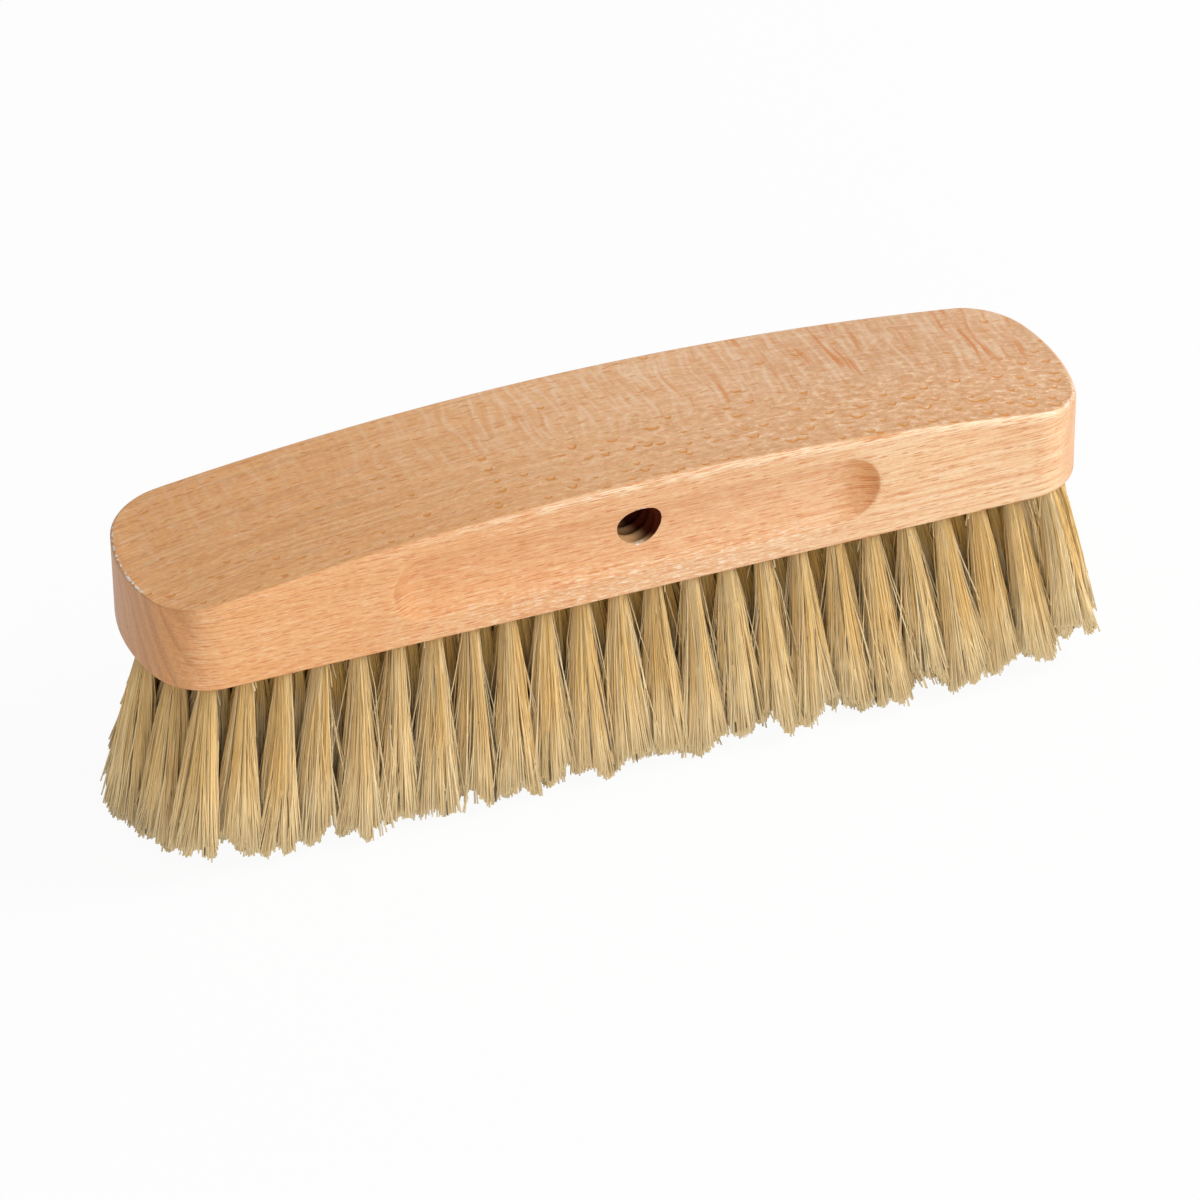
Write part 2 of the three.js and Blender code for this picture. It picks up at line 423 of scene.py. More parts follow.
def tuft_lean(tuft):
    """How far a tuft's tip stands out from its root: the field fans, less so at its back corners."""
    end_fan = LEFT_FAN if tuft[0] < 0 else RIGHT_FAN
    side_fan = SIDE_FAN
    if tuft[1] > 0:
        side_fan *= 1 - BACK_CORNER_EASE * end_share(tuft)
    return np.array(tuft) * (end_fan / HALF_LENGTH, side_fan / HALF_DEPTH)


def tuft_hairs(rng, tuft, count, inner):
    """One tuft's hairs, in clumps that come to points, with some crossing and some pale ones wandering.

    Inner tufts flare halfway down and have paler tones as painted light, and outer ones have a waist there.
    Returns the hairs' roots, tips, bends and tones, and how far along a whole hair each begins.
    """
    middle = np.array(tuft)
    lean = tuft_lean(tuft) + rng.normal(0, LEAN_JITTER, 2)
    place = disc_points(rng, count)
    clump_place = disc_points(rng, CLUMPS)
    apart = np.linalg.norm(place[:, None] - clump_place[None], axis=2)
    clump = apart.argmin(axis=1)
    apart = apart.min(axis=1)
    clump_trim = rng.uniform(0, CLUMP_TRIM, CLUMPS)
    clump_tone = rng.uniform(0, 1, CLUMPS)
    clump_bend = rng.normal(0, CLUMP_BEND, (CLUMPS, 2))

    spread = place + (clump_place[clump] - place) * CLUMP_PULL
    tip = middle + lean + spread * TIP_RADIUS + rng.normal(0, TIP_JITTER, (count, 2))
    swell = FLARE if inner else WAIST * (end_share(tuft) - 1)
    bend = clump_bend[clump] + place * (swell, 0) + rng.normal(0, HAIR_BEND, (count, 2))
    low = corner_trim(tuft) + clump_trim[clump] + apart * CLUMP_POINT + rng.exponential(TRIM_JITTER, count)

    crossing = (rng.random(count) < CROSSING_SHARE)[:, None]
    start = np.where(crossing, disc_points(rng, count), place)
    bend = bend + crossing * rng.normal(0, CROSSING_BEND, (count, 2))
    root = np.column_stack([middle + start * ROOT_RADIUS, np.full(count, UNDERSIDE + ROOT_DEPTH)])
    tip = np.column_stack([tip, low])
    tip = tip + (root - tip) * crossing * rng.uniform(0, CROSSING_CUT, (count, 1))
    wandering = (rng.random(count) < WANDERING_SHARE) * (abs(tuft[0]) < END_START)
    tip[:, 0] += wandering * rng.normal(0, WANDERING_REACH, count)
    # Inner tufts get paler tones: painted light for the light that real hair lets into the shaded field
    tone = 0.4 * clump_tone[clump] + 0.6 * rng.random(count) + 0.35 * inner + 0.5 * wandering
    return root, tip, bend, np.clip(tone, 0, 1), np.zeros(count)


def split_ends(rng, root, tip, bend, tone):
    """Second ends of hairs that split on their way down, as natural bristle does."""
    count = len(root)
    share = rng.uniform(*SPLIT_RANGE, count)
    fork = root + (tip - root) * share[:, None]
    fork[:, :2] += bend * (4 * share * (1 - share))[:, None]
    end = tip + rng.normal(0, 1, (count, 3)) * SPLIT_SPREAD
    end[:, 2] = np.abs(end[:, 2])
    end_bend = rng.normal(0, SPLIT_BEND, (count, 2))
    end_tone = np.clip(tone + rng.normal(0, SPLIT_TONE, count), 0, 1)
    return fork, end, end_bend, end_tone, share


def tuft_stubs(rng, tuft, count):
    """Short broken hairs that stand off a tuft's root."""
    turn = rng.uniform(0, 2 * math.pi, count)
    out = np.column_stack([np.cos(turn), np.sin(turn)])
    foot = np.array(tuft) + out * ROOT_RADIUS
    reach = foot + out * rng.uniform(*STUB_LEAN, (count, 1))
    root = np.column_stack([foot, np.full(count, UNDERSIDE + ROOT_DEPTH)])
    tip = np.column_stack([reach, UNDERSIDE - rng.uniform(*STUB_LENGTH, count)])
    bend = rng.normal(0, STUB_BEND, (count, 2))
    return root, tip, bend, rng.random(count), np.zeros(count)


def hair_mesh(name, rng, root, tip, bend, tone, start):
    """Tapered three-sided hairs in one mesh.

    Its attributes are their tone, a mark on dark hairs and the way along a whole hair.
    """
    count = len(root)
    along = np.linspace(0, 1, HAIR_STEPS + 1)
    line = root[:, None] + (tip - root)[:, None] * along[None, :, None]
    line[:, :, :2] += bend[:, None] * (4 * along * (1 - along))[None, :, None]
    thick = rng.uniform(*HAIR_RADII, count)
    taper = np.interp(along, (0, 0.5, 1), HAIR_TAPER)
    turn = rng.uniform(0, 2 * math.pi, count)[:, None] + np.arange(HAIR_SIDES) * 2 * math.pi / HAIR_SIDES
    around = np.stack([np.cos(turn), np.sin(turn), np.zeros_like(turn)], axis=2)
    ring = line[:, :, None] + (thick[:, None] * taper)[:, :, None, None] * around[:, None]
    per_hair = (HAIR_STEPS + 1) * HAIR_SIDES

    pattern = np.array(loft_faces(HAIR_STEPS + 1, HAIR_SIDES))[:, ::-1]
    sides = pattern[None] + (np.arange(count) * per_hair)[:, None, None]
    caps = np.array([[0, 1, 2], [per_hair - 1, per_hair - 2, per_hair - 3]])
    ends = caps[None] + (np.arange(count) * per_hair)[:, None, None]
    faces = sides.reshape(-1, 4).tolist() + ends.reshape(-1, 3).tolist()
    hair = new_object(name, ring.reshape(-1, 3).tolist(), faces)
    smooth = np.arange(len(faces)) < count * len(pattern)
    hair.data.polygons.foreach_set("use_smooth", smooth)

    dark = (rng.random(count) < DARK_SHARE).astype(float)
    set_values(hair.data, "tone", np.repeat(tone, per_hair))
    set_values(hair.data, "dark", np.repeat(dark, per_hair))
    way = start[:, None] + (1 - start)[:, None] * along
    set_values(hair.data, "along", np.repeat(way.ravel(), HAIR_SIDES))
    bake_cells(hair.data, count, len(pattern), along)
    return hair


def set_values(mesh, name, values):
    """Stores one number for each point of a mesh."""
    store = mesh.attributes.new(name, "FLOAT", "POINT")
    store.data.foreach_set("value", values.astype(np.float32))


def bake_cells(mesh, count, sides, along):
    """Gives each hair a cell of its own in the map that the export bakes into."""
    across = math.ceil(math.sqrt(count * 4))
    down = math.ceil(count / across)
    cell = np.column_stack([np.arange(count) % across, np.arange(count) // across])
    size = np.array([1 / across, 1 / down])
    margin = 0.1
    room = 0.8
    side = np.arange(sides) % HAIR_SIDES
    step = np.arange(sides) // HAIR_SIDES
    left = margin + room * side / HAIR_SIDES
    right = margin + room * (side + 1) / HAIR_SIDES
    low = margin + room * along[step]
    high = margin + room * along[step + 1]
    quad = np.stack([np.stack([left, high], 1), np.stack([right, high], 1),
                     np.stack([right, low], 1), np.stack([left, low], 1)], axis=1)
    quads = (cell[:, None, None] + quad[None]) * size

    # The two end caps lie in the margins below and above
    cap = np.array([[0.1, 0.02], [0.5, 0.02], [0.5, 0.08]])
    caps = np.stack([cap, cap + (0, 0.9)])
    ends = (cell[:, None, None] + caps[None]) * size
    layer = mesh.uv_layers.new(name="OFBake")
    layer.data.foreach_set("uv", np.concatenate([quads.ravel(), ends.ravel()]).astype(np.float32))


def make_row_part(row, part):
    """The hairs of one part of a row. Tufts that show are fuller than those in the middle of the field."""
    rng = np.random.default_rng(HAIR_SEED + ROW_PARTS * row + part)
    groups = []
    tufts = row_tufts(row)
    for number, tuft in enumerate(tufts):
        if number * ROW_PARTS // len(tufts) != part:
            continue
        outer = row in (0, ROW_COUNT - 1) or number in (0, len(tufts) - 1)
        second = row in (1, ROW_COUNT - 2) or number in (1, len(tufts) - 2)
        count = HAIRS_OUTSIDE if outer else HAIRS_SECOND if second else HAIRS_INSIDE
        hairs = tuft_hairs(rng, tuft, count, not outer)
        groups.append(hairs)
        groups.append(split_ends(rng, *hairs[:4]))
        groups.append(tuft_stubs(rng, tuft, STUBS))
    columns = [np.concatenate(column) for column in zip(*groups)]
    return hair_mesh(f"bristle_row_{row + 1}_part_{part + 1}", rng, *columns)


def make_anchors():
    """The flat wire staples that hold the folded tufts at the bottoms of their holes."""
    half = 1.9 * MM
    thick = 0.25 * MM
    wide = 0.9 * MM
    leg = 6 * MM
    clearance = 0.5 * MM
    top = UNDERSIDE + HOLE_DEPTH - clearance
    foot = top - leg
    outer = [(-half, top), (-half, foot), (half, foot), (half, top)]
    slim = half - thick
    inner = [(-slim, top), (-slim, foot + thick), (slim, foot + thick), (slim, top)]
    points = []
    faces = []
    for x, y in all_tufts():
        first = len(points)
        for side in (-wide / 2, wide / 2):
            points.extend((x + px, y + side, pz) for px, pz in outer + inner)
        for i in range(3):
            faces.append((first + i, first + i + 1, first + 5 + i, first + 4 + i))
            faces.append((first + 8 + i, first + 12 + i, first + 13 + i, first + 9 + i))
            faces.append((first + i, first + 8 + i, first + 9 + i, first + i + 1))
            faces.append((first + 4 + i, first + 5 + i, first + 13 + i, first + 12 + i))
        faces.append((first, first + 4, first + 12, first + 8))
        faces.append((first + 3, first + 11, first + 15, first + 7))
    anchors = new_object("tuft_anchors", points, faces)
    turn_outward(anchors)
    return anchors


class Graph:
    """The node tree of a material or a world, with short calls for the nodes used here."""

    def __init__(self, owner):
        owner.use_nodes = True
        self.owner = owner
        self.tree = owner.node_tree

    @property
    def shader(self):
        """The surface shader of a material."""
        return self.tree.nodes["Principled BSDF"]

    def put(self, socket, value):
        """Links a socket to a socket, or sets it to a plain value."""
        if isinstance(value, bpy.types.NodeSocket):
            self.tree.links.new(value, socket)
        else:
            socket.default_value = value

    def surface(self, name, value):
        """Sets one input of the surface shader."""
        self.put(self.shader.inputs[name], value)

    def add(self, kind, inputs=None, **settings):
        """Adds a node, with its settings and the values or links of its inputs."""
        node = self.tree.nodes.new(kind)
        for key, value in settings.items():
            setattr(node, key, value)
        for key, value in (inputs or {}).items():
            self.put(node.inputs[key], value)
        return node

    def math(self, operation, *values):
        """One arithmetic step."""
        return self.add("ShaderNodeMath", dict(enumerate(values)), operation=operation).outputs[0]

    def plus(self, first, second):
        """Sum of two numbers."""
        return self.math("ADD", first, second)

    def minus(self, first, second):
        """First number less the second."""
        return self.math("SUBTRACT", first, second)

    def times(self, *values):
        """Product of numbers, such as masks that all have to be high."""
        product = values[0]
        for value in values[1:]:
            product = self.math("MULTIPLY", product, value)
        return product

    def absolute(self, value):
        """A number without its sign."""
        return self.math("ABSOLUTE", value)

    def length(self, first, second):
        """Length of the long side over two short ones at right angles."""
        return self.math("SQRT", self.plus(self.times(first, first), self.times(second, second)))

    def span(self, value, low, high, to_low=0.0, to_high=1.0):
        """Maps a range smoothly to another and clamps it."""
        inputs = {0: value, 1: low, 2: high, 3: to_low, 4: to_high}
        return self.add("ShaderNodeMapRange", inputs, interpolation_type="SMOOTHSTEP").outputs[0]

    def mix(self, share, first, second, blend="MIX"):
        """Mixes two colours."""
        inputs = {0: share, 6: first, 7: second}
        return self.add("ShaderNodeMix", inputs, data_type="RGBA", blend_type=blend).outputs[2]

    def paint(self, colour, tint, *masks):
        """Lays a tint over a colour where all the masks are high."""
        return self.mix(self.times(*masks), colour, tint)

    def stain(self, colour, tint, *masks):
        """Multiplies a colour by a tint where all the masks are high."""
        return self.mix(self.times(*masks), colour, tint, "MULTIPLY")

    def place(self, x, x_size, y, y_size, z=0.0, z_size=1.0):
        """A place for a pattern whose features have these sizes along three directions."""
        sizes = ((x, x_size), (y, y_size), (z, z_size))
        parts = [self.math("DIVIDE", value, size) for value, size in sizes]
        return self.add("ShaderNodeCombineXYZ", dict(enumerate(parts))).outputs[0]

    def noise(self, place, detail=2.0, roughness=0.5):
        """Noise with features about one unit apart."""
        inputs = {"Vector": place, "Scale": 1.0, "Detail": detail, "Roughness": roughness}
        return self.add("ShaderNodeTexNoise", inputs).outputs["Fac"]

    def sway(self, place, reach, detail=1.0):
        """Noise that goes to both sides of zero."""
        return self.times(self.minus(self.noise(place, detail), 0.5), reach)

    def millimetres(self):
        """The point's place on the object as three numbers in millimetres."""
        place = self.add("ShaderNodeTexCoord").outputs["Object"]
        scaled = self.add("ShaderNodeVectorMath", {0: place, "Scale": 1 / MM}, operation="SCALE").outputs[0]
        return self.add("ShaderNodeSeparateXYZ", {0: scaled}).outputs

    def attribute(self, name):
        """A number stored on the points of the mesh."""
        return self.add("ShaderNodeAttribute", attribute_name=name).outputs["Fac"]


def beech_material():
    """Oiled beech: the growth rings and fibres run along X, and the rays cross from front to back."""
    g = Graph(bpy.data.materials.new("beech"))
    x, y, z = g.millimetres()
    normal = g.add("ShaderNodeSeparateXYZ", {0: g.add("ShaderNodeNewGeometry").outputs["Normal"]}).outputs
    top = g.span(normal[2], 0.88, 0.98)
    upright = g.minus(1.0, top)
    level_share = g.math("SQRT", g.minus(1.01, g.times(normal[2], normal[2])))
    across = g.math("DIVIDE", g.absolute(normal[1]), level_share)
    side = g.times(g.span(across, 0.55, 0.9), upright, g.span(x, 136.0, 124.0))
    end = g.times(g.span(g.absolute(normal[0]), 0.25, 0.8), upright)
    left = g.span(x, 60.0, -120.0)

    # Slow waves move the grain, slow patches deepen it, and it turns more orange to the left
    wave = g.sway(g.place(x, 90.0, y, 40.0, z, 40.0), 5.0)
    level = g.plus(y, g.minus(wave, g.times(z, RING_SLOPE)))
    inward = g.minus(HALF_DEPTH / MM, g.absolute(y))
    ridge = g.times(edge_band(g, x, z, 3.0), upright)
    height = g.plus(z, g.plus(g.times(wave, 0.3), g.times(ridge, inward)))
    ring = g.noise(g.place(x, 200.0, level, 2.4, z, 300.0))
    colour = g.mix(g.span(ring, 0.3, 0.7), (0.88, 0.535, 0.30, 1.0), (0.81, 0.45, 0.225, 1.0))
    drift = g.noise(g.place(x, 60.0, level, 14.0, z, 14.0))
    colour = g.paint(colour, (0.84, 0.44, 0.21, 1.0), g.span(drift, 0.3, 0.7, 0.0, 0.4))
    colour = g.stain(colour, (1.0, 0.87, 0.67, 1.0), left)

    fibre = g.noise(g.place(x, 7.5, y, 3.0, height, 0.38), 2.0, 0.6)
    colour, dash = side_grain(g, colour, side, left, ridge, fibre, x, y, z, height)
    colour, nick = top_grain(g, colour, top, left, x, y, level)
    colour = end_grain(g, colour, end, x, y, level, z)
    colour = cove_tint(g, colour, x, y, z, inward, upright)
    # Painted highlights: pale glints on the top edge
    colour = edge_glints(g, colour, edge_band(g, x, z, 0.9), normal[2], x, y, z)
    grit = g.noise(g.place(x, 1.6, y, 0.7, z, 0.7), 2.0, 0.7)
    colour = g.mix(0.36, colour, grit, "OVERLAY")
    colour, hollow = socket_shade(g, colour, normal, x, y, z)
    g.surface("Base Color", colour)

    g.surface("Roughness", g.math("MAXIMUM", g.span(fibre, 0.25, 0.75, 0.52, 0.36), hollow))
    g.surface("Specular IOR Level", g.span(hollow, 0.0, 1.0, 0.5, 0.1))
    g.surface("IOR", 1.45)
    relief = g.minus(g.minus(g.times(fibre, 0.3), g.times(dash, 0.1)), nick)
    bump = g.add("ShaderNodeBump", {"Strength": 0.35, "Distance": 0.3 * MM, "Height": relief})
    g.surface("Normal", bump.outputs[0])
    return g.owner


def edge_band(g, x, z, width):
    """1 close to the cambered top, 0 from this many millimetres below it."""
    sag = g.times(g.times(x, x), CAMBER * MM / HALF_LENGTH**2)
    below = g.minus(CROWN / MM, g.plus(z, sag))
    return g.span(below, width, width * 0.4)


def cell_marks(g, across, width, along, length):
    """Offsets from a scattered cell's middle, in cell widths and lengths, and the cell's three chances."""
    place = g.place(across, width, along, length)
    cells = g.add("ShaderNodeTexVoronoi", {"Vector": place, "Scale": 1.0}, voronoi_dimensions="2D").outputs
    apart = g.add("ShaderNodeVectorMath", {0: place, 1: cells["Position"]}, operation="SUBTRACT").outputs[0]
    offset = g.add("ShaderNodeSeparateXYZ", {0: apart}).outputs
    chances = g.add("ShaderNodeSeparateColor", {0: cells["Color"]}).outputs
    return offset[0], offset[1], chances


def rays(g, x, height, width, length, kept):
    """Thin lens-shaped dashes: one in some cells of a scattered pattern."""
    across, rise, chances = cell_marks(g, x, width, height, length)
    reach = g.plus(0.22, g.times(chances[1], 0.28))
    share = g.math("DIVIDE", across, reach)
    body = g.minus(1.0, g.times(share, share))
    thick = g.times(body, g.plus(0.06, g.times(chances[2], 0.07)))
    inside = g.minus(thick, g.absolute(rise))
    return g.times(g.span(inside, -0.03, 0.04), g.math("LESS_THAN", chances[0], kept))


def side_grain(g, colour, side, left, ridge, fibre, x, y, z, height):
    """Long sides: pale fibres, rays cut across as thin reddish dashes, longer to the right, and painted
    highlights under the top edge and on the lip under the cove.
    """
    right = g.span(x, 20.0, 95.0)
    middle = g.span(x, -90.0, -10.0)
    colour = g.paint(colour, (1.0, 0.68, 0.39, 1.0), side, right, 0.45)
    pale_share = g.span(left, 0.0, 1.0, 0.55, 0.4)
    colour = g.paint(colour, (1.0, 0.75, 0.48, 1.0), g.span(fibre, 0.5, 0.66), side, pale_share)
    colour = g.paint(colour, (0.76, 0.36, 0.16, 1.0), g.span(fibre, 0.46, 0.32), side, 0.45)
    long_fibre = g.noise(g.place(x, 45.0, y, 30.0, height, 1.4))
    colour = g.paint(colour, (1.0, 0.80, 0.54, 1.0), g.span(long_fibre, 0.5, 0.34), side, right, 0.4)
    deep_share = g.span(right, 0.0, 1.0, 0.2, 0.6)
    colour = g.paint(colour, (0.76, 0.34, 0.15, 1.0), g.span(long_fibre, 0.52, 0.68), side, deep_share)
    # Painted highlight: a cream band along the front just under the top edge, from the middle to the right
    colour = g.paint(colour, (1.0, 0.82, 0.57, 1.0), g.span(fibre, 0.40, 0.58), ridge, side, middle, 0.85)

    # Painted highlights: short pale flecks on the lip under the cove, which faces up to the light
    lip = g.times(g.span(z, UNDERSIDE / MM + 13.0, UNDERSIDE / MM + 7.0), middle, g.span(x, 75.0, 40.0))
    lip_highlight = g.span(g.noise(g.place(x, 3.2, y, 30.0, height, 0.45), 2.0, 0.6), 0.50, 0.68)
    colour = g.paint(colour, (1.0, 0.85, 0.65, 1.0), lip_highlight, lip, side, 0.8)

    short_rays = rays(g, x, height, 5.2, 1.5, g.span(left, 0.0, 1.0, 0.4, 1.0))
    long_rays = rays(g, x, height, 13.0, 1.3, 0.8)
    dash = g.times(g.math("MAXIMUM", short_rays, g.times(long_rays, 0.8)), side)
    return g.paint(colour, (0.66, 0.22, 0.07, 1.0), dash, 0.8), dash


def top_grain(g, colour, top, left, x, y, level):
    """Top: ring lines, a felted and nicked front, and the long flecks of the rays towards the back."""
    colour = g.stain(colour, (0.91, 0.88, 0.86, 1.0), g.span(x, -20.0, 90.0), top)
    colour = g.stain(colour, (1.0, 0.99, 0.92, 1.0), left, top)
    line = g.span(g.noise(g.place(x, 60.0, level, 1.1), 1.0), 0.46, 0.64)
    colour = g.paint(colour, (0.64, 0.31, 0.12, 1.0), line, top, g.span(left, 0.0, 1.0, 0.12, 0.5))
    rough = g.times(g.span(x, -80.0, 110.0, 0.32, 0.95), g.span(y, 15.0, -5.0, 0.5, 1.0))
    blotch = g.noise(g.place(x, 7.0, y, 6.0), 1.0)
    colour = g.paint(colour, (0.66, 0.35, 0.15, 1.0), g.span(blotch, 0.46, 0.7), top, rough, 0.4)
    felt = g.noise(g.place(x, 3.4, y, 1.9), 4.0, 0.72)
    colour = g.paint(colour, (0.62, 0.31, 0.12, 1.0), g.span(felt, 0.47, 0.68), top, rough)
    colour = g.paint(colour, (0.97, 0.71, 0.47, 1.0), g.span(felt, 0.50, 0.30), top, rough)
    weft = g.span(g.noise(g.place(x, 20.0, level, 0.7), 1.0), 0.54, 0.68)
    colour = g.paint(colour, (0.97, 0.70, 0.48, 1.0), weft, top, 0.25)

    # Towards the back the rays lie as bent streaks and pale wisps
    back = g.times(g.span(y, -12.0, 8.0), top)
    shown = g.span(x, -30.0, 70.0, 0.25, 0.95)
    across = g.plus(x, g.sway(g.place(x, 30.0, y, 22.0), 8.0))
    patch = g.span(g.noise(g.place(x, 22.0, y, 22.0)), 0.38, 0.58)
    streak = g.span(g.noise(g.place(across, 2.1, y, 22.0), 1.0), 0.53, 0.66)
    colour = g.paint(colour, (0.70, 0.26, 0.07, 1.0), streak, back, patch, shown)
    pale = g.span(g.noise(g.place(across, 2.0, y, 14.0), 1.0), 0.42, 0.75)
    colour = g.paint(colour, (0.95, 0.71, 0.50, 1.0), pale, back, g.span(x, -80.0, 0.0, 0.15, 0.5))
    colour = g.stain(colour, (0.93, 0.92, 0.91, 1.0), back, g.span(x, 30.0, 90.0))

    bow = g.sway(g.place(x, 5.0, y, 5.0), 3.0)
    tick = rays(g, x, g.plus(y, bow), 5.4, 2.3, g.span(left, 0.0, 1.0, 0.3, 0.65))
    colour = g.paint(colour, (0.66, 0.25, 0.06, 1.0), tick, top, 0.8)
    nick = g.times(top_nicks(g, x, y), top)
    return g.paint(colour, (0.68, 0.26, 0.04, 1.0), nick), nick


def top_nicks(g, x, y):
    """Small scallops, deepest at their front rims.

    There is one in some cells of a scattered pattern, and more to the front right.
    """
    shift = g.sway(g.place(x, 2.4, y, 2.4), 1.3)
    across, deep, chances = cell_marks(g, g.plus(x, shift), 6.0, g.minus(y, shift), 6.0)
    deep = g.minus(deep, 0.12)
    apart = g.length(across, deep)
    facing = g.span(g.math("DIVIDE", deep, apart), 0.35, -0.9)
    reach = g.plus(0.12, g.times(chances[1], g.span(x, -80.0, 110.0, 0.1, 0.28)))
    inside = g.minus(reach, apart)
    thick = g.plus(0.03, g.times(facing, 0.2))
    rim = g.times(g.span(g.math("DIVIDE", inside, thick), 1.0, 0.2), g.span(inside, -0.02, 0.01))
    slant = g.minus(x, g.times(y, 5.0))
    front = g.plus(g.span(y, 8.0, -20.0, 0.04, 0.75), g.span(slant, 0.0, 150.0, 0.0, 0.2))
    kept = g.math("LESS_THAN", chances[0], g.times(front, g.span(x, -120.0, 10.0, 0.3, 1.0)))
    return g.times(rim, g.span(facing, 0.0, 0.4), kept)


def end_grain(g, colour, end, x, y, level, z):
    """Ends: the growth rings stand as soft brown stripes on wood darkened by oil and by painted shade, less
    so at the right end, which faces the light.
    """
    # Painted shade, with a little of the oiled end grain's own darkness: the left end, turned from the
    # light, is darkened most
    end = g.times(end, g.span(x, 132.0, 112.0, 0.6, 1.0))
    colour = g.stain(colour, (0.82, 0.76, 0.69, 1.0), end)
    lean = g.minus(level, g.times(z, RING_SLOPE))
    stripe = g.noise(g.place(x, 60.0, lean, 3.0, z, 200.0))
    colour = g.paint(colour, (0.46, 0.20, 0.07, 1.0), g.span(stripe, 0.44, 0.60), end, 0.5)
    pore = g.noise(g.place(x, 0.7, y, 0.6, z, 0.9))
    return g.paint(colour, (0.50, 0.27, 0.13, 1.0), g.span(pore, 0.48, 0.7), end, 0.4)


def cove_tint(g, colour, x, y, z, inward, upright):
    """The coves are a little deeper in colour and darker at their ends, most at the right: partly end grain
    where the cutter crossed the fibres, partly painted shade where the ends face away from the light.
    """
    cove = g.times(g.span(inward, 0.1, 0.5), g.span(g.absolute(x), 80.0, 76.0), upright)
    colour = g.stain(colour, (1.0, 0.965, 0.94, 1.0), cove)
    # Painted shade on the cove ends, strongest at the right ends, which face away from the light
    ragged = g.sway(g.place(x, 2.5, y, 1.0, z, 1.2), 9.0, 2.0)
    cove_end_shade = g.span(g.plus(g.absolute(x), ragged), 56.0, 69.0)
    return g.stain(colour, (0.80, 0.60, 0.40, 1.0), cove_end_shade, cove, g.span(x, 40.0, 50.0, 0.12, 1.0))


def edge_glints(g, colour, edge, rise, x, y, z):
    """Painted highlights: pale glints, shaped as chipped fibres, on the crisp top edge at the far left and
    at the front of the right end.
    """
    apart = g.length(g.plus(x, (HALF_LENGTH - END_RADIUS) / MM), y)
    left = g.times(g.span(apart, END_RADIUS / MM - 1.0, END_RADIUS / MM - 0.7), g.span(rise, 0.5, 0.8))
    left = g.times(left, g.times(g.span(x, -100.0, -110.0), g.span(y, -17.0, -9.0)))
    right = g.times(g.span(x, 128.0, 131.0), g.span(y, -12.0, -16.0), g.span(rise, 0.98, 0.94))
    # Painted highlight: white glints scattered along the edge
    glint = g.span(g.noise(g.place(x, 1.3, y, 1.3, z, 1.3), 2.0, 0.7), 0.50, 0.54)
    return g.paint(colour, (1.0, 0.96, 0.90, 1.0), edge, g.plus(left, g.times(right, 0.5)), glint)


def socket_shade(g, colour, normal, x, y, z):
    """The tapped socket is darkened by painted shade behind its mouth, which starts further in at the lower
    left, where light falls in.

    A few pale splinters stand at the top and the bottom of the mouth's rim.
    """
    rise = g.minus(z, SOCKET_AXIS / MM)
    wall = g.math("MAXIMUM", g.span(g.absolute(normal[1]), 0.84, 0.76), g.span(y, -26.0, -25.5))
    hollow = g.times(g.span(g.length(x, rise), 8.2, 7.8), wall, g.span(y, 4.0, 2.0))
    colour = g.paint(colour, (1.0, 0.64, 0.31, 1.0), hollow)
    depth = g.plus(y, g.plus(g.times(x, 2.6), g.times(rise, 0.9)))
    # Painted shade inside the socket, deeper further in and towards the upper right
    colour = g.stain(colour, (0.06, 0.014, 0.009, 1.0), hollow, g.span(depth, -33.0, -16.0))

    aside = g.minus(x, MOUTH_SHIFT_X / MM)
    reach = g.length(aside, g.minus(rise, MOUTH_SHIFT_Z / MM))
    rim = g.times(g.span(reach, 6.1, 6.4), g.span(reach, 7.1, 6.8))
    rim = g.times(rim, g.span(g.plus(y, g.times(rise, 0.16)), -26.0, -26.8))
    frayed = g.times(rim, g.span(g.absolute(aside), 1.5, 0.9))
    splinter = g.span(g.noise(g.place(x, 0.8, y, 0.8, z, 0.8), 2.0, 0.7), 0.47, 0.53)
    return g.paint(colour, (1.0, 0.92, 0.82, 1.0), frayed, splinter), hollow


